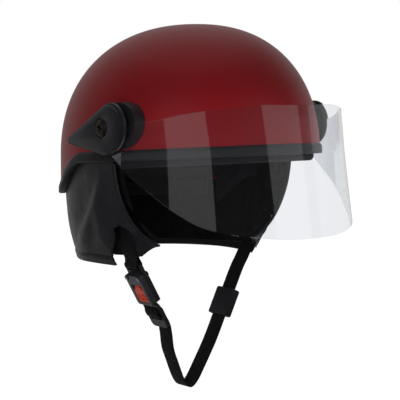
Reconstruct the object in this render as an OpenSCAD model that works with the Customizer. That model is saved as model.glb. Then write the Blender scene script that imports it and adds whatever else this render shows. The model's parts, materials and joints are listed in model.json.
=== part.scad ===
// Open motorcycle helmet with a swing-up visor, a soft ear and neck curtain
// and a quick-release chin strap. Millimetres, +Z up, the face looks along -Y,
// the wearer's left is +X. The origin is the centre of the head opening, in the
// plane of the rim above the ears.

/* [Shell] */
// Width of the painted shell at the rim
shell_w = 232; // [222:1:244]
// Reach of the shell from its widest station forwards
front_l = 138; // [130:1:146]
// Reach of the shell from its widest station backwards
back_l = 136; // [128:1:146]
// Height of the crown above the rim plane
shell_h = 129; // [120:1:140]
// Wall of the painted shell
shell_t = 3; // [2.5:0.5:4]
// How far the widest station lies behind the origin
wide_y = 12.5; // [6:0.5:18]
// Rise of the rim at the brow
brow_rise = 10; // [6:1:14]
// Drop of the rim at the nape
nape_drop = 34; // [26:1:40]
// Height of the rubber beading
bead_h = 10; // [8:0.5:12]
// How far the beading stands out from the shell
bead_out = 2.2; // [1.5:0.1:2.3]

/* [Linings] */
// Thickness of the shock foam
foam_t = 18; // [12:1:20]
// Thickness of the fabric lining under the crown
lining_t = 3; // [2:0.5:4]
// Thickness of the brow and nape pads
pad_t = 13; // [10:1:15]
// Length of the curtain below the rim plane
curtain_drop = 100; // [85:1:110]
// Thickness of the leatherette
curtain_t = 2; // [1.5:0.1:2.5]
// Half width of the neck opening at the hem
neck_r = 88; // [84:1:94]

/* [Visor] */
// Thickness of the clear sheet
visor_t = 2; // [1.6:0.1:2.4]
// How far the flat ears of the visor stand off the shell's half width, at mid wall
ear_gap = 3.8; // [3.6:0.1:7]
// How far the visor's nose stands ahead of the shell, in the rim plane
visor_gap = 32.5; // [28:0.5:40]
// Height of the top edge at the nose
visor_top = 53; // [48:1:58]
// Depth of the lower edge at the nose
visor_low = 64; // [56:1:72]
// Distance of the pivot in front of the origin
pivot_front = 23.5; // [20:0.5:27]
// Height of the pivot above the rim plane
pivot_z = 32; // [28:1:36]
// Radius of the journal that the visor turns on
journal_r = 6; // [5:0.5:7]
// Radius of the round base under the visor
base_r = 21.5; // [20:0.5:25]
// Thickness of the pivot cover
cover_t = 5; // [4.5:0.5:6]
// Radius of the pivot screw's shank
shank_r = 2.5; // [2:0.25:3]
// Radius of the pivot screw's head
head_r = 8.2; // [7:0.1:8.6]

/* [Strap and buckle] */
// Width of the webbing
web_w = 20; // [18:1:20]
// Thickness of the webbing
web_t = 1.6; // [1.2:0.1:1.8]
// Length of the buckle housing
house_l = 34; // [32:1:38]
// Width of the buckle housing
house_w = 24; // [24:1:27]
// Thickness of the buckle housing
house_t = 11; // [10.5:0.5:12]
// Wall of the buckle housing
house_wall = 1.8; // [1.5:0.1:2]
// Radius of the lever's pin
pin_r = 1; // [0.8:0.1:1.2]
// Thickness of the tongue's blade
blade_t = 1.8; // [1.5:0.1:2]
// Width of the tongue's blade
blade_w = 15; // [13:1:16]
// Length of the strap slider
slider_l = 28; // [22:1:28]

/* [Hidden] */
$fn = 64;

// Shape of the dome: exponents of the plan outline and of the three profiles
plan_n = 2.11;
side_n = 2.28;
front_n = 2.26;
back_n = 2.18;
// The rim is straight forwards of the first station and at its lowest
// behind the second
rim_y1 = 25;
rim_y2 = 98;
// Facets of the dome, around and up
slices = 48;
rings = 12;
// Clearances: between pieces that touch, between layers, and on a running fit
touch = 0.05;
layer = 0.3;
run = 0.05;

// Beading channel
bead_in = 2;
bead_under = 2;
// Foam and pads sit above the beading's inner lip
foam_lift = 6;
foam_in = shell_t + layer;
lining_in = foam_in + foam_t + layer;
pad_in = shell_t + bead_in + 1;
pad_low = 9;

// Curtain: the leatherette hangs inside the beading's lip, the soft lining
// hangs inside it, and the strap runs in the gap between them
curtain_in = shell_t + bead_in + 0.8;
web_gap = 8;
soft_t = 3;
lining_face = curtain_in + curtain_t + web_gap + soft_t + 1.5;
side_low = 22;
curtain_top = 5;
edge_y = -16;
hem_centre = 52;
hem_front = 89;
hem_back = 76;
corner_rise = 20;
corner_span = 0.16;
band_w = 0.085;
band_t = 1;
notch_y = -3;
notch_r = web_w / 2 + 2.5;
notch_z = -70;
lining_notch_z = -50;

// Visor: ears, flare and edge heights at quarter steps from nose to ear
ear_x = shell_w / 2 + ear_gap;
ear_y = -10;
ear_wall = visor_t + 0.4;
visor_l = front_l - wide_y + visor_gap + ear_y;
flare_w = 6.5;
flare_l = 17;
visor_n = 2.12;
flat_z = 10;
top_drop = [0, 0, -6, -16, -16];
low_rise = [0, 2.5, 12, 45, 80];

// Pivot stack, measured outwards along X from the centre plane
plate_x = shell_w / 2 - 15;
plate_t = 2;
nut_t = 4;
nut_r = 5.6;
base_tilt = -7;
base_y = -36;
base_z = 34;
base_face = ear_x - ear_wall / 2 - 4.1;
boss_r = 10;
boss_x = ear_x - ear_wall / 2 - 1.4;
cover_x = ear_x + ear_wall / 2 + 0.2;
shoulder_x = cover_x + 2.6;
journal_x = shoulder_x + 0.2;
washer_t = 0.8;
washer_r = head_r + 0.4;
well_r = washer_r + 0.4;
head_x = journal_x + touch + washer_t;
head_t = 2.6;
bore_r = shank_r + 0.1;
bore_x0 = plate_x - 20;
bore_x1 = head_x + 10;
spacer_r = 9;
slot_y = -3;
slot_z = 8;
slot_open = 5.4;
cover_a = [-35, 33, 22];
cover_b = [-26, 26.5, 19];
cover_tip = [32.6, 19, 3.4];

// Buckle frame: its place and its lean from the vertical
buckle_at = [-61, 4, -122];
buckle_lean = -30;
loop_h = 10;
loop_t = 4;
loop_slot = 4.6;
window_w = 16;
window_lo = -14;
window_hi = 1;
pin_x = -3.1;
pin_z = 3.4;
tongue_l = 28;
tongue_t = 3.5;
slot_h = 4.4;
first_slot = 4.8;
bar_h = 6.6;

// Slider frame
slider_at = [38.5, 4.5, -145];
slider_lean = 25.8;
slider_wall = 2;

// Route of the short strap, from its anchor plate to the buckle's loop
short_route = [
    [-99.4, -3, 12], [-101.6, -3, 11.2], [-104, -3, 9], [-104.8, -3, 4],
    [-100.5, -3, -20], [-94.3, -2.5, -45], [-88.8, -2.5, -55], [-84.9, -2.5, -60],
    [-83.5, -2.5, -64], [-82.5, -2, -75], [-80.5, -1, -85], [-77, 0, -93],
    [-76, 1.5, -98], [-74.8, 3.4, -101.2],
    [-72, 4, -102.8], [-70, 4, -102.4], [-68.8, 4, -100.8], [-68.6, 4, -97.6],
    [-70.6, 4, -94.2], [-72.6, 4, -91]
];
// Route of the chin strap, from the left anchor plate round to the tongue
chin_route = [
    [99.4, -3, 12], [101.6, -3, 11.2], [104, -3, 9], [104.8, -3, 4],
    [100.5, -3, -20], [94.3, -2.5, -45], [88.8, -2.5, -55], [84.9, -2.5, -60],
    [83.5, -2.5, -64], [79, -2, -75], [71, -0.5, -83], [64.5, 1, -91],
    [59, 2.5, -102], [52, 4.5, -117], [25.4, 4.5, -172], [17, 6, -190],
    [8, 7.5, -207], [3, 8.2, -216], [-2, 8.5, -222], [-7, 8.5, -224.2],
    [-12, 8.3, -221], [-17.5, 7.3, -213], [-24.5, 6, -198], [-30.5, 5, -184],
    [-33.4, 4.3, -168], [-36, 4, -158.4], [-41, 4, -149.8], [-45, 4, -142.8],
    [-47.7, 4, -141.1], [-49.8, 4, -141.4], [-51.1, 4, -143.1], [-51, 4, -146.4],
    [-48.8, 4, -150.2], [-46.2, 4, -152], [-44, 4, -152], [-43, 4, -151.2]
];

// ---- curves ----

function smooth(v) = let(t = min(max(v, 0), 1)) t * t * (3 - 2 * t);
function mix(a, b, t) = a + (b - a) * t;

// Radius factor of a slightly squared circle, angle measured from -Y
function plan_k(th) =
    pow(pow(abs(sin(th)), plan_n) + pow(abs(cos(th)), plan_n), -1 / plan_n);
// Factor by which a profile has drawn in at height z
function dome_k(z, top, n) = pow(max(0, 1 - pow(max(z, 0) / top, n)), 1 / n);

// A point of the dome's skin, moved inwards by inset
function skin(th, z, inset) =
    let(k = plan_k(th), top = shell_h - inset, c = cos(th))
    [
        (shell_w / 2 - inset) * sin(th) * k * dome_k(z, top, side_n),
        (c > 0
            ? -(front_l - inset) * c * k * dome_k(z, top, front_n)
            : -(back_l - inset) * c * k * dome_k(z, top, back_n))
            + wide_y * dome_k(z, top, 2),
        z
    ];

// Height of the rim at a station along Y, and at an angle
function rim_at(y) =
    y < rim_y1
        ? brow_rise * (rim_y1 - y) / (rim_y1 + front_l - wide_y)
        : -nape_drop * smooth((y - rim_y1) / (rim_y2 - rim_y1));
function rim_h(th) = rim_at(skin(th, 0, 0)[1]);

// A point of the dome's facet grid
function dome_pt(i, j, inset, lift) =
    let(th = 360 * i / slices, lo = rim_h(th) + lift, hi = shell_h - inset)
    skin(th, mix(lo, hi, sin(90 * j / rings)), inset);

// A point on the dome's lowest row of facets, a height above or below the rim
function edge_pt(i, h, inset) =
    let(a = dome_pt(i, 0, inset, 0), b = dome_pt(i, 1, inset, 0))
    a + (b - a) * h / (b[2] - a[2]);

// A smooth curve through a list of heights, read at a fraction from 0 to 1;
// it is level at the first
function along(list, t) =
    let(
        n = len(list) - 1,
        i = min(floor(t * n), n - 1),
        f = t * n - i,
        a = list[abs(i - 1)],
        b = list[i],
        c = list[i + 1],
        d = list[min(i + 2, n)]
    )
    b + f * (c - a + f * (2 * a - 5 * b + 4 * c - d + f * (3 * b - a - 3 * c + d))) / 2;

// ---- generic solids ----

// Faces between neighbouring sections of m points each
function side_faces(n, m, closed) = [
    for (i = [0 : n - (closed ? 1 : 2)], j = [0 : m - 1])
        let(a = i * m, b = ((i + 1) % n) * m, k = (j + 1) % m)
        each [[a + j, a + k, b + k], [a + j, b + k, b + j]]
];
// Faces that close an end section, pairing its points across its width
function end_faces(base, m, flip) = [
    for (j = [0 : m / 2 - 2])
        let(a = base + j, b = base + j + 1, c = base + m - 2 - j, d = base + m - 1 - j)
        each (flip ? [[a, b, c], [a, c, d]] : [[a, c, b], [a, d, c]])
];
// A bar through a list of sections; each section turns anticlockwise as
// seen along the bar
module bar(sections) {
    n = len(sections);
    m = len(sections[0]);
    polyhedron(
        points = [for (s = sections, p = s) p],
        faces = concat(
            side_faces(n, m, false),
            end_faces(0, m, false),
            end_faces((n - 1) * m, m, true)
        )
    );
}
// A closed ring through a list of sections
module ring(sections) {
    n = len(sections);
    m = len(sections[0]);
    polyhedron(points = [for (s = sections, p = s) p], faces = side_faces(n, m, true));
}

// A dome wall between two insets, its lower edge raised above the rim
module dome_wall(outer, inner, lift) {
    grid = rings;
    points = concat(
        [for (j = [0 : grid - 1], i = [0 : slices - 1]) dome_pt(i, j, outer, lift)],
        [for (j = [0 : grid - 1], i = [0 : slices - 1]) dome_pt(i, j, inner, lift)],
        [dome_pt(0, grid, outer, lift), dome_pt(0, grid, inner, lift)]
    );
    half = grid * slices;
    top = half * 2;
    wall = [
        for (j = [0 : grid - 2], i = [0 : slices - 1])
            let(a = j * slices + i, b = j * slices + (i + 1) % slices)
            each [
                [a, a + slices, b + slices], [a, b + slices, b],
                [half + a, half + b + slices, half + a + slices],
                [half + a, half + b, half + b + slices]
            ]
    ];
    caps = [
        for (i = [0 : slices - 1])
            let(k = (i + 1) % slices, a = (grid - 1) * slices + i, b = (grid - 1) * slices + k)
            each [
                [a, top, b], [half + a, half + b, top + 1],
                [i, k, half + k], [i, half + k, half + i]
            ]
    ];
    polyhedron(points = points, faces = concat(wall, caps));
}

// The part of a dome wall around the left pivot, on the same facet grid
module pivot_patch(outer, inner) {
    bar([
        for (i = [5 : 14])
            concat(
                [for (j = [0 : 7]) dome_pt(i, j, outer, 0)],
                [for (j = [7 : -1 : 0]) dome_pt(i, j, inner, 0)]
            )
    ]);
}

// Places a child on the left, or mirrored on the right
module on_side(left) {
    if (left) children();
    else mirror([1, 0, 0]) children();
}

// A disc or a tube whose axis is X, from x0 to x1
module disc_x(x0, x1, r, y = -pivot_front, z = pivot_z) {
    translate([x0, y, z]) rotate([0, 90, 0]) cylinder(h = x1 - x0, r = r);
}

// Outline of a band stretched round some circles, each grown by the same
// amount: towards each direction it follows the circle that reaches furthest
function reach(c, grow, dir) = c[0] * dir[0] + c[1] * dir[1] + c[2] + grow;
function round_outline(circles, grow, turn = 5) = [
    for (a = [0 : turn : 359])
        let(
            dir = [cos(a), sin(a)],
            far = max([for (c = circles) reach(c, grow, dir)]),
            best = [for (c = circles) if (reach(c, grow, dir) >= far) c][0]
        )
        [best[0] + (best[2] + grow) * dir[0], best[1] + (best[2] + grow) * dir[1]]
];

// A flat piece drawn in (Y, Z) and given a thickness from x0 to x1
module slab_x(x0, x1) {
    translate([x0, 0, 0]) rotate([90, 0, 90]) linear_extrude(height = x1 - x0) children();
}

// ---- shell, beading and linings ----

module shell() {
    color("firebrick") difference() {
        dome_wall(0, shell_t, 0);
        for (left = [false, true]) on_side(left) disc_x(bore_x0, bore_x1, bore_r);
    }
}

// A U channel of rubber that grips the shell's edge
module rim_beading() {
    color("#26262a") ring([
        for (i = [0 : slices - 1])
            let(out = -bead_out, inn = shell_t + bead_in)
            [
                for (p = [
                    [-touch, bead_h - bead_under], [-touch, -touch],
                    [shell_t + touch, -touch], [shell_t + touch, bead_h * 0.45],
                    [inn, bead_h * 0.45], [inn, -bead_under * 0.5],
                    [inn - 1.2, -bead_under], [-1, -bead_under],
                    [out, -bead_under * 0.4], [out, bead_h * 0.5],
                    [out * 0.5, bead_h - bead_under - 0.6]
                ])
                    edge_pt(i, p[1], p[0])
            ]
    ]);
}

// Space inside the foam for the pivot's nut, anchor plate and strap
module anchor_recess() {
    translate([plate_x - nut_t - 3, -pivot_front - 14, -45])
        cube([60, pivot_front + 14 + slot_y + web_w / 2 + 4, pivot_z + 60]);
}

module foam_liner() {
    color("#3a3a3e") difference() {
        dome_wall(foam_in, foam_in + foam_t, foam_lift);
        for (left = [false, true]) on_side(left) anchor_recess();
    }
}

module crown_lining() {
    color("#1d1d20") dome_wall(lining_in, lining_in + lining_t, foam_lift + 12);
}

// A rounded pad hung under the foam, between two angles and two insets
module rim_pad(from, to, inset, thick, low, high, steps = 20) {
    bar([
        for (i = [0 : steps])
            let(
                th = mix(from, to, i / steps),
                r = rim_h(th),
                e = sin(180 * min(max(i / steps, 0.04), 0.96)),
                t = thick * (0.35 + 0.65 * pow(e, 0.4)),
                h = high - low
            )
            [
                for (p = [
                    [0.25, 0], [0, 0.25], [0, 0.75], [0.25, 1],
                    [0.75, 1], [1, 0.75], [1, 0.25], [0.75, 0]
                ])
                    let(s = skin(th, 0, inset + t * p[0])) [s[0], s[1], r + low + h * p[1]]
            ]
    ]);
}

module brow_pad() {
    color("#37373b") rim_pad(-73, 73, pad_in, pad_t, -pad_low, foam_lift - 1);
}

module nape_pad() {
    color("#37373b")
        rim_pad(125, 235, lining_face, pad_t, -10, foam_lift - 1);
}

module side_pad_left() {
    color("#37373b")
        rim_pad(93, 120,
            lining_face + (shell_w / 2 - curtain_in - neck_r) * pow(side_low / curtain_drop, 2),
            pad_t * 0.8, -side_low, foam_lift - 1, 10);
}

module side_pad_right() {
    mirror([1, 0, 0]) side_pad_left();
}

// ---- ear and neck curtain ----

// Half of the curtain's plan at level t, 0 at the rim and 1 at the hem
function curtain_ring(t, inset) =
    let(q = t * t)
    [
        mix(shell_w / 2 - curtain_in, neck_r, q) - inset,
        mix(wide_y, hem_centre, q),
        mix(front_l - curtain_in, hem_front, q) - inset,
        mix(back_l - curtain_in, hem_back, q) - inset
    ];
// Height of the hem, which rises at the front corner; u is 0 at the front
// edge and 1 at the nape
function hem_z(u) = -curtain_drop + corner_rise * (1 - smooth(u / corner_span)) + 3 * u;
// A point of the curtain on the left side, level t, station u
function curtain_pt(u, t, inset) =
    let(
        c = curtain_ring(t, inset),
        edge = acos((c[1] - edge_y) / c[2]),
        th = mix(edge, 180, u),
        k = plan_k(th),
        x = c[0] * sin(th) * k,
        y = c[1] - (th < 90 ? c[2] : c[3]) * cos(th) * k,
        hi = rim_at(y + curtain_in + inset + 2) + curtain_top
    )
    [x, y, mix(hi, hem_z(u), t)];
function mirrored(p, side) = [p[0] * side, p[1], p[2]];
// One station of the curtain, as a closed strip between two insets
function curtain_section(v, outer, inner, t0, t1, levels) =
    let(side = v < 0 ? -1 : 1, u = 1 - abs(v))
    concat(
        [for (j = [levels : -1 : 0]) mirrored(curtain_pt(u, mix(t0, t1, j / levels), outer), side)],
        [for (j = [0 : levels]) mirrored(curtain_pt(u, mix(t0, t1, j / levels), inner), side)]
    );

// The arched opening above the hem that lets the strap out, on both sides
module strap_notch(centre_z, r) {
    translate([-150, notch_y, 0]) {
        translate([0, 0, centre_z]) rotate([0, 90, 0]) cylinder(h = 300, r = r);
        translate([0, -r, -curtain_drop - 20])
            cube([300, 2 * r, curtain_drop + 20 + centre_z]);
    }
}

module flap_curtain() {
    color("#2f2f33") difference() {
        bar([for (i = [-24 : 24]) curtain_section(-i / 24, 0, curtain_t, 0, 1, 8)]);
        strap_notch(notch_z, notch_r);
    }
}

module flap_lining() {
    inn = curtain_t + web_gap;
    color("#1b1b1d") difference() {
        bar([for (i = [-24 : 24]) curtain_section(-i / 24, inn, inn + soft_t, 0.04, 0.9, 8)]);
        strap_notch(lining_notch_z, notch_r + 2);
    }
}

// The stitched band along the curtain's front edge
module flap_band_left() {
    color("#2a2a2e") bar([
        for (i = [0 : 4])
            curtain_section(1 - band_w * i / 4, -0.45 - band_t, -0.45, 0.14, 0.66, 8)
    ]);
}

module flap_band_right() {
    mirror([1, 0, 0]) flap_band_left();
}

// ---- visor and pivots ----

// A point of the visor: angle from the nose, height, and offset outwards
function visor_pt(th, z, off) =
    let(
        k = pow(pow(abs(sin(th)), visor_n) + pow(abs(cos(th)), visor_n), -1 / visor_n),
        w = ear_x + flare_w * max(0, flat_z - z) / 100,
        l = visor_l - flare_l * z / 100
    )
    [(w + off) * sin(th) * k, ear_y - (l + off) * cos(th) * k, z];
function visor_section(th) =
    let(
        t = abs(th) / 90,
        hi = visor_top + along(top_drop, t),
        lo = -visor_low + along(low_rise, t)
    )
    concat(
        [for (j = [6 : -1 : 0]) visor_pt(th, mix(hi, lo, j / 6), visor_t / 2)],
        [for (j = [0 : 6]) visor_pt(th, mix(hi, lo, j / 6), -visor_t / 2)]
    );

// The teardrop outline shared by the visor's ear and its cover
module ear_outline(grow = 0) {
    polygon(round_outline([cover_a, cover_b, cover_tip], grow));
}
// The visor's own ear is cut back in front, where the curved sheet takes over
module visor_ear() {
    intersection() {
        slab_x(ear_x - ear_wall / 2, ear_x + ear_wall / 2) ear_outline();
        translate([0, -pivot_front - 11, -100]) cube([200, 200, 300]);
    }
}

module visor() {
    color([0.9, 0.92, 0.95, 0.35]) difference() {
        union() {
            bar([for (i = [-18 : 18]) visor_section(5 * i)]);
            for (left = [false, true]) on_side(left) visor_ear();
        }
        for (left = [false, true]) on_side(left) disc_x(plate_x, bore_x1, journal_r + run);
    }
}

// A base that fills the space between the shell and the visor, with the
// journal that the visor and its cover turn on
module pivot_base_left() {
    color("#202024") difference() {
        union() {
            difference() {
                translate([base_face, base_y, base_z]) rotate([0, 0, base_tilt])
                    translate([-30, 0, 0]) rotate([0, 90, 0]) cylinder(h = 30, r = base_r);
                pivot_patch(-touch, 24);
                translate([0, -pivot_front - 60, pivot_z - 60]) cube([shell_w / 2 - 21, 120, 120]);
            }
            disc_x(base_face - 1.5, boss_x, boss_r);
            disc_x(base_face - 1.5, journal_x, journal_r);
        }
        disc_x(bore_x0, bore_x1, bore_r);
    }
}

module pivot_base_right() {
    mirror([1, 0, 0]) pivot_base_left();
}

// A packing between the shell's inner face and the anchor plate
module pivot_spacer_left() {
    color("#3c3c40") difference() {
        disc_x(plate_x + plate_t + touch, shell_w / 2 + 2, spacer_r);
        pivot_patch(-10, shell_t + touch);
        disc_x(bore_x0, bore_x1, bore_r);
    }
}

module pivot_spacer_right() {
    mirror([1, 0, 0]) pivot_spacer_left();
}

// A steel plate on the pivot screw, with the slot that holds the webbing
module anchor_plate_left() {
    color("#8a8c90") difference() {
        union() {
            disc_x(plate_x, plate_x + plate_t, 10.5);
            slab_x(plate_x, plate_x + plate_t) polygon([
                [-pivot_front - 9.5, pivot_z - 4], [slot_y - web_w / 2 - 4, slot_z - 5],
                [slot_y + web_w / 2 + 4, slot_z - 5],
                [slot_y + web_w / 2 + 4, slot_z + slot_open + 4],
                [-pivot_front + 6, pivot_z + 8]
            ]);
        }
        disc_x(bore_x0, bore_x1, bore_r);
        translate([plate_x - 1, slot_y - web_w / 2 - 1, slot_z])
            cube([plate_t + 2, web_w + 2, slot_open]);
    }
}

module anchor_plate_right() {
    mirror([1, 0, 0]) anchor_plate_left();
}

module pivot_nut_left() {
    color("#9a9ca0") difference() {
        translate([plate_x - touch - nut_t, -pivot_front, pivot_z])
            rotate([0, 90, 0]) cylinder(h = nut_t, r = nut_r, $fn = 6);
        disc_x(bore_x0, bore_x1, shank_r + touch);
    }
}

module pivot_nut_right() {
    mirror([1, 0, 0]) pivot_nut_left();
}

module pivot_washer_left() {
    color("#55565a") difference() {
        disc_x(journal_x + touch / 2, journal_x + touch / 2 + washer_t, washer_r);
        disc_x(bore_x0, bore_x1, bore_r);
    }
}

module pivot_washer_right() {
    mirror([1, 0, 0]) pivot_washer_left();
}

// A pan head with a cross recess on a long shank
module pivot_screw_left() {
    color("#5a5048") difference() {
        translate([0, -pivot_front, pivot_z]) rotate([90, 0, 90]) rotate_extrude()
            polygon([
                [0, plate_x - nut_t - 1], [shank_r, plate_x - nut_t - 1], [shank_r, head_x],
                [head_r, head_x], [head_r, head_x + 0.9],
                [head_r - 0.9, head_x + 1.8], [head_r - 2.6, head_x + head_t], [0, head_x + head_t]
            ]);
        for (turn = [0, 90])
            translate([head_x + head_t - 1.8, -pivot_front, pivot_z]) rotate([turn + 20, 0, 0])
                translate([0, -4.2, -0.8]) cube([4, 8.4, 1.6]);
    }
}

module pivot_screw_right() {
    mirror([1, 0, 0]) pivot_screw_left();
}

// A teardrop cover with a stepped, chamfered edge, turning with the visor
module pivot_cover_left() {
    step = cover_t * 0.55;
    color("#26262a") difference() {
        union() {
            slab_x(cover_x, cover_x + step) ear_outline();
            slab_x(cover_x + step - touch, cover_x + cover_t - 0.8) ear_outline(-2.2);
            slab_x(cover_x + cover_t - 0.8 - touch, cover_x + cover_t) ear_outline(-2.8);
        }
        disc_x(plate_x, bore_x1, journal_r + run);
        disc_x(shoulder_x, bore_x1, well_r);
    }
}

module pivot_cover_right() {
    mirror([1, 0, 0]) pivot_cover_left();
}

// ---- webbing ----

// A flat band along a route, its width along Y
function band_section(route, i, w, t) =
    let(
        n = len(route) - 1,
        d = route[min(i + 1, n)] - route[max(i - 1, 0)],
        h = norm([d[0], d[2]]),
        side = [-d[2] / h, 0, d[0] / h] * t / 2,
        across = [0, w / 2, 0]
    )
    [
        route[i] + side + across, route[i] - side + across,
        route[i] - side - across, route[i] + side - across
    ];
module band(route, w, t) {
    bar([for (i = [0 : len(route) - 1]) band_section(route, i, w, t)]);
}

module strap_right() {
    color("#1c1c1e") band(short_route, web_w, web_t);
}

module chin_strap() {
    color("#1c1c1e") band(chin_route, web_w, web_t);
}

// ---- buckle ----

module in_buckle() {
    translate(buckle_at) rotate([0, buckle_lean, 0]) children();
}

// Rounded plate across the strap: width along Y, length along Z
module plate(x0, x1, w, z0, z1, r) {
    slab_x(x0, x1) {
        translate([-w / 2 + r, z0]) square([w - 2 * r, z1 - z0]);
        translate([-w / 2, z0 + r]) square([w, z1 - z0 - 2 * r]);
        for (y = [-w / 2 + r, w / 2 - r], z = [z0 + r, z1 - r]) translate([y, z]) circle(r = r);
    }
}
module block(x0, x1, w, z0, z1) {
    translate([x0, -w / 2, z0]) cube([x1 - x0, w, z1 - z0]);
}

rivet_r = 1.5;
module rivet_places() {
    for (y = [-1, 1]) translate([0, y * (house_w / 2 - 2.6), house_l / 2 - 3])
        rotate([0, 90, 0]) children();
}
module pin_axis() {
    translate([pin_x, -house_w / 2 - 1, pin_z]) rotate([-90, 0, 0]) children();
}

// Hollow inside of the housing, open at its lower end
module house_cavity() {
    block(-house_t / 2 + house_wall, house_t / 2 - house_wall, blade_w + 1.4,
        -house_l / 2 - 1, house_l / 2 - 6);
}

module buckle_base() {
    color("#2b2b30") in_buckle() difference() {
        union() {
            plate(touch / 2, house_t / 2, house_w, -house_l / 2, house_l / 2, 3);
            plate(-loop_t / 2 + 2.2, loop_t / 2 + 1.8, web_w + 6, house_l / 2 - 4, house_l / 2 + loop_h, 2.5);
        }
        house_cavity();
        block(-5, 8, web_w + 1.6, house_l / 2 + 2.4, house_l / 2 + 2.4 + loop_slot);
        rivet_places() cylinder(h = 30, r = rivet_r + touch, center = true);
    }
}

module buckle_cover() {
    color("#4a4a50") in_buckle() difference() {
        plate(-house_t / 2, -touch / 2, house_w, -house_l / 2, house_l / 2, 3);
        house_cavity();
        block(-house_t, -1, window_w, window_lo, window_hi + 5.2);
        pin_axis() cylinder(h = house_w + 2, r = pin_r + touch);
        rivet_places() cylinder(h = 30, r = rivet_r + touch, center = true);
    }
}

module buckle_rivets() {
    color("#707074") in_buckle() rivet_places() {
        cylinder(h = house_t + 0.4, r = rivet_r, center = true);
        for (s = [-1, 1]) translate([0, 0, s * (house_t / 2 + 0.5)])
            cylinder(h = 0.8, r = rivet_r + 0.9, center = true);
    }
}

module lever_pin() {
    color("#8a8c90") in_buckle() translate([0, 1.5, 0]) pin_axis()
        cylinder(h = house_w - 1, r = pin_r);
}

// A torsion spring of round wire on the pin, beside the lever's hub
module lever_spring() {
    wire = 0.3;
    turns = 3;
    coil = pin_r + 0.55;
    steps = turns * 12;
    color("#a0a2a6") in_buckle() translate([pin_x, 0, pin_z]) bar([
        for (i = [0 : steps])
            let(a = 360 * turns * i / steps, y = 4.4 + 2.4 * i / steps)
            [
                for (b = [0 : 60 : 300])
                    [(coil + wire * cos(b)) * cos(a), y - wire * sin(b), (coil + wire * cos(b)) * sin(a)]
            ]
    ]);
}

// A push lever in the window, with a hub on the pin and a catch that faces
// the blade
module release_lever() {
    hub_r = pin_r + 1;
    face = -house_t / 2 + 0.3;
    color("#ff5a2a") in_buckle() difference() {
        union() {
            plate(face, face + 1.9, window_w - 0.8, window_lo + 0.5, pin_z, 1);
            for (z = [-11.5, -9, -6.5]) block(face - 0.7, face + 0.1, window_w - 4, z, z + 1.2);
            translate([pin_x, -3.6, pin_z]) rotate([-90, 0, 0]) cylinder(h = 7.2, r = hub_r);
            block(face + 1.8, -blade_t / 2 - 0.25, 6, -9, -6);
        }
        pin_axis() cylinder(h = house_w + 2, r = pin_r + run);
        for (s = [-1, 1]) translate([pin_x, s * 6.6, pin_z]) cube([6, 5.6, 5.4], center = true);
    }
}

// Blade with a latch hole, and a ladder frame that holds the webbing
module buckle_tongue() {
    top = -house_l / 2 - 0.6;
    slot1 = top - first_slot + slot_h / 2 - 0.6;
    color("#2b2b30") in_buckle() difference() {
        union() {
            block(-blade_t / 2, blade_t / 2, blade_w, top - 1, -house_l / 2 + 22);
            plate(-tongue_t / 2, tongue_t / 2, web_w + 5, top - tongue_l, top, 4);
        }
        block(-5, 5, blade_w - 6, -11.5, -5);
        block(-5, 5, web_w + 1.2, slot1 - slot_h, slot1);
        block(-5, 5, web_w + 1.2, slot1 - slot_h - bar_h - slot_h, slot1 - slot_h - bar_h);
    }
}

// A flat sleeve on the left leg of the strap, with a slot in its inner face
module strap_slider() {
    w = web_w + 2;
    gap = 4.6;
    color("#26262a") translate(slider_at) rotate([0, slider_lean, 0]) difference() {
        plate(-gap / 2 - slider_wall, gap / 2 + slider_wall, w + 2 * slider_wall,
            -slider_l / 2, slider_l / 2, 2);
        block(-gap / 2, gap / 2, w, -slider_l, slider_l);
        block(0, 2 * gap, w - 4, -3, 3);
    }
}

// ---- nodes ----

shell();
rim_beading();
foam_liner();
crown_lining();
brow_pad();
nape_pad();
side_pad_right();
side_pad_left();
flap_curtain();
flap_lining();
flap_band_right();
flap_band_left();
pivot_base_right();
pivot_base_left();
pivot_spacer_right();
pivot_spacer_left();
anchor_plate_right();
anchor_plate_left();
pivot_nut_right();
pivot_nut_left();
pivot_washer_right();
pivot_washer_left();
pivot_screw_right();
pivot_screw_left();
visor();
pivot_cover_right();
pivot_cover_left();
strap_right();
chin_strap();
buckle_base();
buckle_cover();
buckle_rivets();
lever_pin();
lever_spring();
release_lever();
buckle_tongue();
strap_slider();
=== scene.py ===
"""Looks of an open motorcycle helmet with a swing-up visor, a soft ear and neck curtain
and a quick-release chin strap.

Shapes are worked out in millimetres and made in metres, in the frame of the CAD parts:
+Z up, the face looks along -Y, the wearer's left is +X, and the origin is the centre of the
head opening.
"""

import json
import logging
import math
from dataclasses import dataclass, field
from enum import Enum
from typing import Callable, Optional, Sequence

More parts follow.
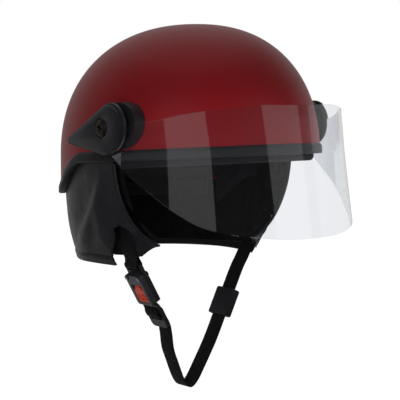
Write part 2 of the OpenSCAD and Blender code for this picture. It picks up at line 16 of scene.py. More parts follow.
import bmesh
import bpy
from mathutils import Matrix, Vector

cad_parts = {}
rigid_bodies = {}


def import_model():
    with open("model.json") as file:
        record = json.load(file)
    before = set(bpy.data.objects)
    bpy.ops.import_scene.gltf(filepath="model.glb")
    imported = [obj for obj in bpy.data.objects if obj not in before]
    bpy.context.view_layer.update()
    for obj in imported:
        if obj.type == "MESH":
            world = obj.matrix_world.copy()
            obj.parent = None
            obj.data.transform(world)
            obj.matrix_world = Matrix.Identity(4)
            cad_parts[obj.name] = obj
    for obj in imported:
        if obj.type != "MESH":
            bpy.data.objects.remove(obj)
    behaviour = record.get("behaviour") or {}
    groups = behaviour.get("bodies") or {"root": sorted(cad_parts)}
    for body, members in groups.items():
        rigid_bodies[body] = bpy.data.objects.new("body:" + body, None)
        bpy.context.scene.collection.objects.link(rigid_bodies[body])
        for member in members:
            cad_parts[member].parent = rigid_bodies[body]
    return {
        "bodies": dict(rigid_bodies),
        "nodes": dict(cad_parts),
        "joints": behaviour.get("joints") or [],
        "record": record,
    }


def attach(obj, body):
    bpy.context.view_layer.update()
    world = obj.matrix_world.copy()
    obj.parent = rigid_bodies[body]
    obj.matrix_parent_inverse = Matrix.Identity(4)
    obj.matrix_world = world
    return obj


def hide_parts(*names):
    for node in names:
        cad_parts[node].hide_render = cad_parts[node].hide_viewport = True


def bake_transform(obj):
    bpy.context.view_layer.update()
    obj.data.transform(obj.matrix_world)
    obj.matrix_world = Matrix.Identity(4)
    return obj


logging.basicConfig(level=logging.INFO, format="%(message)s")
LOG = logging.getLogger("helmet")

MM = 0.001
Point = tuple[float, float, float]
Place = Callable[[float, float], Point]


class Body(str, Enum):
    """Bodies of the CAD model that the pieces ride on."""

    HELMET = "helmet"
    VISOR = "visor"
    TONGUE = "tongue"


class Side(Enum):
    """Which side of the wearer a piece is on, as the sign of X."""

    RIGHT = -1
    LEFT = 1


# ---------------------------------------------------------------- small maths


def smooth(value: float) -> float:
    """Ease a number between 0 and 1.

    Args:
        value: the number, clamped to the range 0 to 1.

    Returns:
        The eased number.
    """
    t = min(max(value, 0.0), 1.0)
    return t * t * (3 - 2 * t)


def mix(a: float, b: float, t: float) -> float:
    """Blend two numbers.

    Args:
        a: value at 0.
        b: value at 1.
        t: fraction.

    Returns:
        The blended number.
    """
    return a + (b - a) * t


def ridge(value: float, width: float) -> float:
    """A soft bump around zero.

    Args:
        value: distance from the bump's middle.
        width: distance at which the bump has fallen to about a third.

    Returns:
        A number from 0 to 1.
    """
    return math.exp(-((value / width) ** 2))


def along(heights: Sequence[float], t: float) -> float:
    """Read a smooth curve through a list of heights, level at its first.

    Args:
        heights: the values at equal steps.
        t: fraction of the list, 0 to 1.

    Returns:
        The height there.
    """
    n = len(heights) - 1
    i = min(int(t * n), n - 1)
    f = t * n - i
    a, b, c, d = heights[abs(i - 1)], heights[i], heights[i + 1], heights[min(i + 2, n)]
    return b + f * (c - a + f * (2 * a - 5 * b + 4 * c - d + f * (3 * b - a - 3 * c + d))) / 2


def refine(route: Sequence[Point], steps: int) -> list[Point]:
    """Smooth a route into closer points that still pass through the given ones.

    Args:
        route: the chosen points.
        steps: points made for each stretch.

    Returns:
        The closer points.
    """
    done = []
    last = len(route) - 1
    for i in range(last):
        a, b = route[max(i - 1, 0)], route[i]
        c, d = route[i + 1], route[min(i + 2, last)]
        for k in range(steps):
            f = k / steps
            done.append(tuple(
                b[x] + f * (c[x] - a[x] + f * (2 * a[x] - 5 * b[x] + 4 * c[x] - d[x]
                            + f * (3 * b[x] - a[x] - 3 * c[x] + d[x]))) / 2
                for x in range(3)))
    done.append(tuple(route[last]))
    return done


def rounded(points: Sequence[tuple[float, float]], radius: float, steps: int) -> list[tuple[float, float]]:
    """Round the corners of a closed outline.

    Args:
        points: corners, in order.
        radius: how far each rounding reaches along its edges, at most 0.45 of an edge.
        steps: points made for each corner, less one.

    Returns:
        The rounded outline.
    """
    done = []
    n = len(points)
    for i, corner in enumerate(points):
        ends = []
        for other in (points[i - 1], points[(i + 1) % n]):
            edge = Vector(other) - Vector(corner)
            ends.append(Vector(corner) + edge * min(radius / edge.length, 0.45))
        for k in range(steps + 1):
            f = k / steps
            point = ends[0] * (1 - f) ** 2 + Vector(corner) * 2 * f * (1 - f) + ends[1] * f * f
            done.append((point.x, point.y))
    return done


# ---------------------------------------------------------------- mesh helpers


def activate(obj: bpy.types.Object) -> None:
    """Make one object the only selected and active one.

    Args:
        obj: the object.
    """
    bpy.ops.object.select_all(action="DESELECT")
    obj.select_set(True)
    bpy.context.view_layer.objects.active = obj


def modify(obj: bpy.types.Object, kind: str, **settings: object) -> bpy.types.Object:
    """Add one modifier and apply it.

    Args:
        obj: the mesh object.
        kind: Blender's name of the modifier's type.
        settings: the modifier's properties.

    Returns:
        The same object.
    """
    activate(obj)
    modifier = obj.modifiers.new(kind.title(), kind)
    for name, value in settings.items():
        setattr(modifier, name, value)
    bpy.ops.object.modifier_apply(modifier=modifier.name)
    return obj


def soften(obj: bpy.types.Object, angle: float = 40.0) -> bpy.types.Object:
    """Shade an object smooth, with its sharp edges kept.

    Args:
        obj: the mesh object.
        angle: degrees above which an edge stays sharp.

    Returns:
        The same object.
    """
    activate(obj)
    bpy.ops.object.shade_smooth_by_angle(angle=math.radians(angle))
    return obj


def surface(name: str, across: int, up: int, place: Place, weld: bool = False) -> bpy.types.Object:
    """Make a grid primitive and move its points onto a surface.

    Args:
        name: the object's name.
        across: faces along u.
        up: faces along v.
        place: gives a point in millimetres for u and v from 0 to 1. Seen from outside, u
            runs to the right and v upwards.
        weld: join points that coincide, for a surface that closes on itself.

    Returns:
        The new object, at the origin.
    """
    bpy.ops.mesh.primitive_grid_add(x_subdivisions=across, y_subdivisions=up, size=2)
    obj = bpy.context.active_object
    obj.name = name
    obj.data.name = name
    layer = obj.data.uv_layers.active
    corner_vertex = [loop.vertex_index for loop in obj.data.loops]
    params = [((v.co.x + 1) / 2, (v.co.y + 1) / 2) for v in obj.data.vertices]
    for loop, vertex in enumerate(corner_vertex):
        layer.data[loop].uv = params[vertex]
    for vertex, (u, v) in zip(obj.data.vertices, params):
        vertex.co = Vector(place(u, v)) * MM
    if weld:
        bpy.ops.object.mode_set(mode="EDIT")
        bpy.ops.mesh.select_all(action="SELECT")
        bpy.ops.mesh.remove_doubles(threshold=1e-6)
        bpy.ops.mesh.normals_make_consistent(inside=False)
        bpy.ops.object.mode_set(mode="OBJECT")
    return obj


def cap_holes(obj: bpy.types.Object) -> bpy.types.Object:
    """Close the open ends of a tube and turn all faces outwards.

    Args:
        obj: the mesh object.

    Returns:
        The same object.
    """
    activate(obj)
    bpy.ops.object.mode_set(mode="EDIT")
    bpy.ops.mesh.select_all(action="SELECT")
    bpy.ops.mesh.fill_holes(sides=0)
    bpy.ops.mesh.select_all(action="SELECT")
    bpy.ops.mesh.normals_make_consistent(inside=False)
    bpy.ops.object.mode_set(mode="OBJECT")
    return obj


def face_outwards(obj: bpy.types.Object) -> bpy.types.Object:
    """Turn all the faces of a mesh outwards.

    Args:
        obj: the mesh object.

    Returns:
        The same object.
    """
    activate(obj)
    bpy.ops.object.mode_set(mode="EDIT")
    bpy.ops.mesh.select_all(action="SELECT")
    bpy.ops.mesh.normals_make_consistent(inside=False)
    bpy.ops.object.mode_set(mode="OBJECT")
    return obj


def join(pieces: Sequence[bpy.types.Object], name: str) -> bpy.types.Object:
    """Join several meshes into one object.

    Args:
        pieces: the objects; the first one is kept.
        name: the joined object's name.

    Returns:
        The joined object.
    """
    activate(pieces[0])
    for piece in pieces[1:]:
        piece.select_set(True)
    if len(pieces) > 1:
        bpy.ops.object.join()
    pieces[0].name = name
    return pieces[0]


def mirrored(point: Point, side: Side) -> Point:
    """Put a point of the left side on either side.

    Args:
        point: the point on the left.
        side: the wanted side.

    Returns:
        The point there.
    """
    return (point[0] * side.value, point[1], point[2])


def beads(name: str, centres: Sequence[Point], thickness: float, fill: float = 0.62) -> bpy.types.Object:
    """A row of stitches: each is a small capsule lying along the row.

    Args:
        name: the object's name.
        centres: points of the row in millimetres, one stitch pitch apart.
        thickness: the thread's thickness in millimetres.
        fill: length of a stitch as a share of the pitch.

    Returns:
        One mesh with all the stitches.
    """
    bpy.ops.mesh.primitive_uv_sphere_add(segments=8, ring_count=6, radius=1)
    obj = bpy.context.active_object
    obj.name = name
    shape = [v.co.copy() for v in obj.data.vertices]
    faces = [list(p.vertices) for p in obj.data.polygons]
    mesh = bmesh.new()
    for a, b in zip(centres[:-1], centres[1:]):
        start, end = Vector(a), Vector(b)
        ahead = end - start
        if ahead.length < 1e-6:
            continue
        turn = ahead.to_track_quat("Z", "Y")
        size = Vector((thickness / 2, thickness / 2, ahead.length * fill / 2))
        middle = (start + end) / 2
        made = [mesh.verts.new((middle + turn @ Vector(c * s for c, s in zip(co, size))) * MM)
                for co in shape]
        for face in faces:
            mesh.faces.new([made[i] for i in face])
    mesh.to_mesh(obj.data)
    mesh.free()
    activate(obj)
    bpy.ops.object.shade_smooth()
    return obj


def spaced(points: Sequence[Point], pitch: float) -> list[Point]:
    """Walk along a line of points in equal steps.

    Args:
        points: the line, in millimetres.
        pitch: the step in millimetres.

    Returns:
        Points one step apart.
    """
    done = [points[0]]
    need = pitch
    for a, b in zip(points[:-1], points[1:]):
        start, end = Vector(a), Vector(b)
        length = (end - start).length
        used = 0.0
        while length - used >= need:
            used += need
            done.append(tuple(start.lerp(end, used / length)))
            need = pitch
        need -= length - used
    return done


# ---------------------------------------------------------------- finishes


def srgb(code: str) -> tuple[float, float, float, float]:
    """Turn a hex colour as a screen shows it into Blender's linear colour.

    Args:
        code: the colour, such as "#64161b".

    Returns:
        Linear red, green, blue and alpha.
    """
    parts = [int(code[i:i + 2], 16) / 255 for i in (1, 3, 5)]
    linear = [p / 12.92 if p <= 0.04045 else ((p + 0.055) / 1.055) ** 2.4 for p in parts]
    return (linear[0], linear[1], linear[2], 1.0)


def add_node(
    tree: bpy.types.NodeTree,
    kind: str,
    settings: Optional[dict[str, object]] = None,
    links: Optional[dict[str, bpy.types.NodeSocket]] = None,
) -> bpy.types.Node:
    """Add a shader node, set it up and link its inputs.

    Args:
        tree: the node tree.
        kind: the node's type.
        settings: properties or input values by name; a number stands for an input's place.
        links: the output socket that feeds each named input.

    Returns:
        The new node.
    """
    made = tree.nodes.new(kind)
    for name, value in (settings or {}).items():
        if isinstance(name, str) and hasattr(made, name):
            setattr(made, name, value)
        else:
            made.inputs[name].default_value = value
    for name, socket in (links or {}).items():
        tree.links.new(socket, made.inputs[name])
    return made


class Grain(Enum):
    """Kinds of surface relief."""

    NOISE = "noise"
    PEBBLE = "pebble"
    KNIT = "knit"
    WEBBING = "webbing"


@dataclass(frozen=True)
class Relief:
    """One layer of relief on a finish.

    Attributes:
        grain: its pattern.
        pitch: size of one pattern unit in millimetres.
        height: height of the relief in millimetres.
    """

    grain: Grain
    pitch: float
    height: float


@dataclass(frozen=True)
class Finish:
    """A real material and how its surface was made.

    Attributes:
        name: material and process.
        colour: base colour as a hex code.
        second: colour of its darker or lighter flecks, if any.
        roughness: surface roughness.
        rough_spread: how far the roughness wanders either way.
        metallic: 1 for bare metal.
        coat: weight of a clear coat.
        coat_roughness: roughness of that coat.
        sheen: weight of a fabric's sheen.
        ior: index of refraction.
        clear: weight of transmission.
        specular: specular level.
        fleck_pitch: size of the flecks in millimetres.
        reliefs: its layers of relief.
    """

    name: str
    colour: str
    second: Optional[str] = None
    roughness: float = 0.5
    rough_spread: float = 0.06
    metallic: float = 0.0
    coat: float = 0.0
    coat_roughness: float = 0.1
    sheen: float = 0.0
    ior: float = 1.5
    clear: float = 0.0
    specular: float = 0.5
    fleck_pitch: float = 12.0
    reliefs: tuple[Relief, ...] = ()

    def _pattern(self, tree: bpy.types.NodeTree, relief: Relief, coords: dict) -> bpy.types.NodeSocket:
        """Make the height pattern of one relief layer.

        Args:
            tree: the node tree.
            relief: the layer.
            coords: outputs of the texture coordinate node.

        Returns:
            The socket that carries the height.
        """
        scale = 1 / (relief.pitch * MM)
        if relief.grain is Grain.NOISE:
            made = add_node(tree, "ShaderNodeTexNoise", {"Scale": scale, "Detail": 3.0},
                            {"Vector": coords["Object"]})
            return made.outputs[0]
        if relief.grain is Grain.PEBBLE:
            warp = add_node(tree, "ShaderNodeTexNoise", {"Scale": scale * 0.6, "Detail": 1.0},
                            {"Vector": coords["Object"]})
            bent = add_node(tree, "ShaderNodeVectorMath",
                            {"operation": "MULTIPLY_ADD", 1: (0.5 / scale,) * 3},
                            {0: warp.outputs[1], 2: coords["Object"]})
            made = add_node(tree, "ShaderNodeTexVoronoi", {"feature": "DISTANCE_TO_EDGE", "Scale": scale},
                            {"Vector": bent.outputs[0]})
            ramp = add_node(tree, "ShaderNodeMapRange", {"From Max": 0.35}, {"Value": made.outputs[0]})
            return ramp.outputs[0]
        source = coords["UV"] if relief.grain is Grain.WEBBING else coords["Object"]
        turn = math.radians(45)
        waves = []
        for angle in (turn, -turn):
            laid = add_node(tree, "ShaderNodeMapping", {"Rotation": (0.0, 0.0, angle)}, {"Vector": source})
            made = add_node(tree, "ShaderNodeTexWave",
                            {"wave_type": "BANDS", "bands_direction": "X", "Scale": scale / 20,
                             "Distortion": 0.4, "Detail": 1.0, "Detail Scale": 2.0},
                            {"Vector": laid.outputs[0]})
            waves.append(made.outputs[1])
        both = add_node(tree, "ShaderNodeMath", {"operation": "MULTIPLY"}, {0: waves[0], 1: waves[1]})
        return both.outputs[0]

    def material(self) -> bpy.types.Material:
        """Build the Blender material once, and find it again after that.

        Returns:
            The material.
        """
        found = bpy.data.materials.get(self.name)
        if found:
            return found
        made = bpy.data.materials.new(self.name)
        made.use_nodes = True
        tree = made.node_tree
        tree.nodes.clear()
        coords = add_node(tree, "ShaderNodeTexCoord").outputs
        shader = add_node(tree, "ShaderNodeBsdfPrincipled", {
            "Base Color": srgb(self.colour), "Roughness": self.roughness, "Metallic": self.metallic,
            "Coat Weight": self.coat, "Coat Roughness": self.coat_roughness,
            "Sheen Weight": self.sheen, "IOR": self.ior, "Transmission Weight": self.clear,
            "Specular IOR Level": self.specular,
        })
        add_node(tree, "ShaderNodeOutputMaterial", links={"Surface": shader.outputs[0]})
        if self.rough_spread:
            cloud = add_node(tree, "ShaderNodeTexNoise", {"Scale": 1 / (9 * MM), "Detail": 4.0},
                             {"Vector": coords["Object"]})
            spread = add_node(tree, "ShaderNodeMapRange", {
                "To Min": max(self.roughness - self.rough_spread, 0.02),
                "To Max": min(self.roughness + self.rough_spread, 1.0)}, {"Value": cloud.outputs[0]})
            tree.links.new(spread.outputs[0], shader.inputs["Roughness"])
        if self.second:
            fleck = add_node(tree, "ShaderNodeTexNoise",
                             {"Scale": 1 / (self.fleck_pitch * MM), "Detail": 5.0, "Roughness": 0.6},
                             {"Vector": coords["Object"]})
            share = add_node(tree, "ShaderNodeMapRange", {"From Min": 0.35, "From Max": 0.7},
                             {"Value": fleck.outputs[0]})
            blend = add_node(tree, "ShaderNodeMix",
                             {"data_type": "RGBA", 6: srgb(self.colour), 7: srgb(self.second)},
                             {0: share.outputs[0]})
            tree.links.new(blend.outputs[2], shader.inputs["Base Color"])
        normal = None
        for relief in self.reliefs:
            bump = add_node(tree, "ShaderNodeBump", {"Strength": 1.0, "Distance": relief.height * MM},
                            {"Height": self._pattern(tree, relief, coords)})
            if normal:
                tree.links.new(normal, bump.inputs["Normal"])
            normal = bump.outputs[0]
        if normal:
            tree.links.new(normal, shader.inputs["Normal"])
        LOG.info("material %s", self.name)
        return made


# Injection-moulded ABS in deep red under a clear lacquer: broad soft gloss over a dark red
RED_PAINT = Finish("Sprayed deep red lacquer on ABS", "#98111a", roughness=0.55, rough_spread=0.03, coat=0.2,
                   coat_roughness=0.3, specular=0.3, reliefs=(Relief(Grain.NOISE, 14, 0.03),))
# Extruded EPDM: dull black with a soft line of light on its rounded edges
RUBBER = Finish("Extruded black EPDM rubber", "#232327", "#1c1c20", roughness=0.55,
                reliefs=(Relief(Grain.NOISE, 1.2, 0.02),))
# Expanded polystyrene, dyed dark: fused beads
SHOCK_FOAM = Finish("Moulded grey expanded polystyrene", "#2d2d31", "#242428", roughness=0.85, specular=0.3,
                    reliefs=(Relief(Grain.PEBBLE, 3.0, 0.12),))
# Brushed knit over thin foam: soft and very dark
LINING = Finish("Brushed black warp-knit lining", "#161618", "#202024", roughness=0.95, sheen=0.05,
                specular=0.1, fleck_pitch=22,
                reliefs=(Relief(Grain.NOISE, 0.8, 0.05), Relief(Grain.NOISE, 7, 0.5)))
# Spacer mesh over soft foam: dark grey with a fine open texture
PAD_KNIT = Finish("Grey-black spacer-knit pad cover", "#2b2b30", "#222226", roughness=0.9, sheen=0.06,
                  specular=0.15, reliefs=(Relief(Grain.KNIT, 1.8, 0.12), Relief(Grain.NOISE, 9, 0.3)))
# PVC-coated cloth, embossed: pebbled, with long soft lights on its folds
LEATHERETTE = Finish("Embossed black PVC leatherette", "#303034", "#29292d", roughness=0.46,
                     rough_spread=0.08,
                     reliefs=(Relief(Grain.NOISE, 16, 0.9), Relief(Grain.PEBBLE, 1.3, 0.07)))
# Moulded nylon with a spark-eroded texture: black, half dull
BLACK_PLASTIC = Finish("Spark-textured black nylon", "#26262b", roughness=0.42, rough_spread=0.05,
                       reliefs=(Relief(Grain.NOISE, 0.7, 0.015),))
# The buckle's shaded face: the same nylon, greyer and polished
GREY_PLASTIC = Finish("Moulded charcoal acetal", "#3d3d43", roughness=0.36, rough_spread=0.05,
                      reliefs=(Relief(Grain.NOISE, 0.9, 0.012),))
# Glass-clear polycarbonate, hard coated: faint grey, sharp reflections, bright cut edges
CLEAR = Finish("Hard-coated clear polycarbonate", "#eef0f3", roughness=0.02, rough_spread=0.0, ior=1.5,
               clear=1.0)
# Bright zinc plate on pressed steel
STEEL = Finish("Zinc-plated pressed steel", "#8c8e92", roughness=0.36, metallic=1.0,
               reliefs=(Relief(Grain.NOISE, 0.8, 0.01),))
# Blackened steel worn warm at its edges
DARK_SCREW = Finish("Black-oxide steel screw", "#4a423c", "#3a3532", roughness=0.42, metallic=0.85,
                    fleck_pitch=3, reliefs=(Relief(Grain.NOISE, 0.8, 0.02),))
# Flat woven polyester: ribs that run in a fine chevron
WEBBING = Finish("Woven black polyester webbing", "#19191c", "#222225", roughness=0.8, sheen=0.03,
                 specular=0.2, fleck_pitch=5, reliefs=(Relief(Grain.WEBBING, 1.6, 0.3),))
# Bonded polyester thread
THREAD = Finish("Bonded black polyester thread", "#3a3a3f", roughness=0.6, rough_spread=0.0)
# Bright moulded acetal that marks the release
ORANGE_PLASTIC = Finish("Moulded orange-red acetal", "#ff4d1e", roughness=0.34, rough_spread=0.04)

SLOTS = {
    "red_paint": RED_PAINT, "black_rubber": RUBBER, "shock_foam": SHOCK_FOAM, "lining_fabric": LINING,
    "pad_fabric": PAD_KNIT, "leatherette": LEATHERETTE, "black_plastic": BLACK_PLASTIC,
    "grey_plastic": GREY_PLASTIC, "clear_visor": CLEAR, "steel": STEEL, "dark_screw": DARK_SCREW,
    "webbing": WEBBING, "orange_plastic": ORANGE_PLASTIC,
}


def dress(obj: bpy.types.Object, finish: Finish, body: Body, slot: str, *nodes: str) -> bpy.types.Object:
    """Give a finished piece its material and its body, and hide the CAD nodes that it replaces.

    Args:
        obj: the piece.
        finish: its finish.
        body: the body it rides on.
        slot: the record's material slot; not used.
        nodes: the CAD nodes that it replaces.

    Returns:
        The same piece.
    """
    obj.data.materials.clear()
    obj.data.materials.append(finish.material())
    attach(obj, body.value)
    if nodes:
        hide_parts(*nodes)
    LOG.info("piece %s, %d faces", obj.name, len(obj.data.polygons))
    return obj


# ---------------------------------------------------------------- forms of the helmet


@dataclass(frozen=True)
class Dome:
    """The shell's form; angles are measured from the face, and insets go inwards.

    Attributes:
        half_width: half width of the shell at its rim.
        front: reach forwards from the widest station.
        back: reach backwards from it.
        height: height of the crown.
        wall: thickness of the shell.
        wide_y: place of the widest station.
        brow_rise: rise of the rim at the brow.
        nape_drop: drop of the rim at the nape.
    """

    half_width: float = 116.0
    front: float = 138.0
    back: float = 136.0
    height: float = 129.0
    wall: float = 3.0
    wide_y: float = 12.5
    brow_rise: float = 10.0
    nape_drop: float = 34.0

    def skin(self, angle: float, z: float, inset: float = 0.0) -> Point:
        """A point of the dome.

        Args:
            angle: radians from the face towards the wearer's left.
            z: height.
            inset: distance inside the painted skin.

        Returns:
            The point.
        """
        s, c = math.sin(angle), math.cos(angle)
        k = (abs(s) ** 2.11 + abs(c) ** 2.11) ** (-1 / 2.11)
        share = min(max(z, 0.0) / (self.height - inset), 1.0)

        def drawn(power: float) -> float:
            return max(0.0, 1 - share ** power) ** (1 / power)

        reach = -(self.front - inset) * drawn(2.26) if c > 0 else -(self.back - inset) * drawn(2.18)
        return ((self.half_width - inset) * s * k * drawn(2.28),
                reach * c * k + self.wide_y * drawn(2.0), z)

    def rim_at(self, y: float) -> float:
        """Height of the rim at a station along Y.

        Args:
            y: the station.

        Returns:
            The height.
        """
        if y < 25:
            return self.brow_rise * (25 - y) / (25 + self.front - self.wide_y)
        return -self.nape_drop * smooth((y - 25) / 73)

    def rim(self, angle: float) -> float:
        """Height of the rim at an angle.

        Args:
            angle: radians from the face.

        Returns:
            The height.
        """
        return self.rim_at(self.skin(angle, 0)[1])

    def wall_point(self, angle: float, rise: float, inset: float = 0.0, lift: float = 0.0) -> Point:
        """A point of the dome between its rim and its crown.

        Args:
            angle: radians from the face.
            rise: 0 at the rim, 1 at the crown.
            inset: distance inside the painted skin.
            lift: how far the lower edge is raised above the rim.

        Returns:
            The point.
        """
        top = self.height - inset
        return self.skin(angle, mix(self.rim(angle) + lift, top, math.sin(math.pi / 2 * rise)), inset)

    def near_rim(self, angle: float, height: float, inset: float) -> Point:
        """A point near the rim.

        Args:
            angle: radians from the face.
            height: height above the rim.
            inset: distance inside the painted skin.

        Returns:
            The point.
        """
        z = self.rim(angle) + height
        return self.skin(angle, z, inset)


@dataclass(frozen=True)
class Curtain:
    """The form that the ear and neck curtain hangs in.

    Attributes:
        dome: the shell that it hangs from.
        inset: how far inside the shell's skin its outer face hangs.
        neck_r: half width at the hem.
        hem_front: reach of the hem forwards of its centre.
        hem_back: reach of the hem backwards.
        hem_centre: centre of the hem along Y.
        drop: length below the rim plane.
        edge_y: station of the front edge at the rim.
        lining_slot: centre along Y and Z, and radius, of the round top of the lining's slot for the strap.
        slot_foot: height of the slot's lower edge.
    """

    dome: Dome
    inset: float = 5.8
    neck_r: float = 88.0
    hem_front: float = 89.0
    hem_back: float = 76.0
    hem_centre: float = 52.0
    drop: float = 100.0
    edge_y: float = -16.0
    lining_slot: tuple[float, float, float] = (-3.0, -50.0, 14.5)
    slot_foot: float = -79.0

    def point(self, u: float, t: float, inset: float = 0.0) -> Point:
        """A point of the curtain on the left side.

        Args:
            u: 0 at the front edge, 1 at the nape.
            t: 0 at the rim, 1 at the hem.
            inset: distance inside the leatherette's outer face.

        Returns:
            The point.
        """
        q = t * t
        wide = mix(self.dome.half_width - self.inset, self.neck_r, q) - inset
        centre = mix(self.dome.wide_y, self.hem_centre, q)
        front = mix(self.dome.front - self.inset, self.hem_front, q) - inset
        back = mix(self.dome.back - self.inset, self.hem_back, q) - inset
        angle = mix(math.acos((centre - self.edge_y) / front), math.pi, u)
        s, c = math.sin(angle), math.cos(angle)
        k = (abs(s) ** 2.11 + abs(c) ** 2.11) ** (-1 / 2.11)
        y = centre - (front if c > 0 else back) * c * k
        top = self.dome.rim_at(y + self.inset + inset + 2) + 5
        hem = -self.drop + 20 * (1 - smooth(u / 0.16)) + 3 * u
        return (wide * s * k, y, mix(top, hem, t))

    def at(self, y: float, z: float, inset: float = 0.0) -> Point:
        """The point of the curtain seen at a place from the side.

        Args:
            y: place along Y.
            z: height.
            inset: distance inside the outer face.

        Returns:
            The point on the left side.
        """
        u, t = 0.1, 0.5
        for _ in range(24):
            here = self.point(u, t, inset)
            ahead = self.point(u + 0.01, t, inset)
            below = self.point(u, t + 0.01, inset)
            slope_y = (ahead[1] - here[1]) / 0.01
            slope_z = (below[2] - here[2]) / 0.01
            u = min(max(u + (y - here[1]) / slope_y * 0.8, 0.0), 0.9)
            t = min(max(t + (z - here[2]) / slope_z * 0.8, 0.0), 1.03)
        return (self.point(u, t, inset)[0], y, z)

    def hem_at(self, y: float) -> float:
        """Height of the hem's edge at a station.

        Args:
            y: the station.

        Returns:
            Its height.
        """
        low, high = 0.0, 0.5
        for _ in range(20):
            middle = (low + high) / 2
            low, high = (middle, high) if self.point(middle, 1.0)[1] < y else (low, middle)
        return self.point(low, 1.0)[2]

    def band_reach(self, level: float) -> float:
        """Width of the front band, which thins beside the strap's opening.

        Args:
            level: 0 at the rim, 1 at the hem.

        Returns:
            The width as a share of the way to the nape.
        """
        return mix(0.078, 0.03, smooth((level - 0.58) / 0.2))

    def folds(self, y: float, z: float) -> float:
        """How far the leatherette's slack folds stand out.

        Args:
            y: place along Y.
            z: height.

        Returns:
            The distance in millimetres.
        """
        down = smooth((4 - z) / 35)
        first = ridge(0.80 * (y - 28) + 0.60 * (z + 56), 5.5) * ridge(0.60 * (y - 28) - 0.80 * (z + 56), 34)
        second = (ridge(0.72 * (y - 48) + 0.69 * (z + 74), 6.5)
                  * ridge(0.69 * (y - 48) - 0.72 * (z + 74), 26))
        third = ridge(0.95 * (y - 12) + 0.30 * (z + 44), 6.0) * ridge(0.30 * (y - 12) - 0.95 * (z + 44), 30)
        wave = 0.5 * math.sin(y * 0.11 + z * 0.05) * math.sin(z * 0.06 + 1.0)
        return down * (1.8 * first + 1.5 * second + 1.3 * third + wave)

    def clear_of_hem(self, z: float) -> float:
        """How far the turned hem stands out below its seam.

        Args:
            z: height.

        Returns:
            The distance in millimetres.
        """
        return 0.9 * smooth((-self.drop + 9 - z) / 1.6) - 0.7 * ridge(z + self.drop - 9.5, 1.0)


# ---------------------------------------------------------------- the pieces


@dataclass
class ShellAssembly:
    """The painted shell with the rubber beading on its edge."""

    dome: Dome

    def build(self) -> None:
        """Make and dress both pieces."""
        self._shell()
        self._beading()

    def _shell(self) -> None:
        """The painted shell, one smooth moulding."""
        shell = surface("painted_shell", 200, 64,
                        lambda u, v: self.dome.wall_point(2 * math.pi * u, v), weld=True)
        modify(shell, "SOLIDIFY", thickness=self.dome.wall * MM, offset=-1)
        soften(shell, 50)
        dress(shell, RED_PAINT, Body.HELMET, "red_paint", "shell")

    def _beading(self) -> None:
        """A U channel of rubber with rounded lips."""
        section = rounded([(-0.05, 8.0), (-0.05, -0.05), (3.05, -0.05), (3.05, 4.5), (5.0, 4.5), (5.0, -1.0),
                           (3.8, -2.0), (-1.0, -2.0), (-2.2, -0.8), (-2.2, 5.0), (-1.1, 7.4)], 0.8, 4)

        def place(u: float, v: float) -> Point:
            inset, height = section[round(v * len(section)) % len(section)]
            return self.dome.near_rim(2 * math.pi * u, height, inset)

        beading = surface("rubber_beading", 240, len(section), place, weld=True)
        soften(beading, 50)
        dress(beading, RUBBER, Body.HELMET, "black_rubber", "rim_beading")


@dataclass
class PadSpec:
    """One comfort pad under the foam's edge.

    Attributes:
        name: the piece's name.
        node: the CAD node that it stands for.
        start: first angle in degrees.
        stop: last angle in degrees.
        inset: distance of its outer face inside the shell's skin.
        thick: thickness.
        low: lower edge below the rim.
    """

    name: str
    node: str
    start: float
    stop: float
    inset: float
    thick: float
    low: float


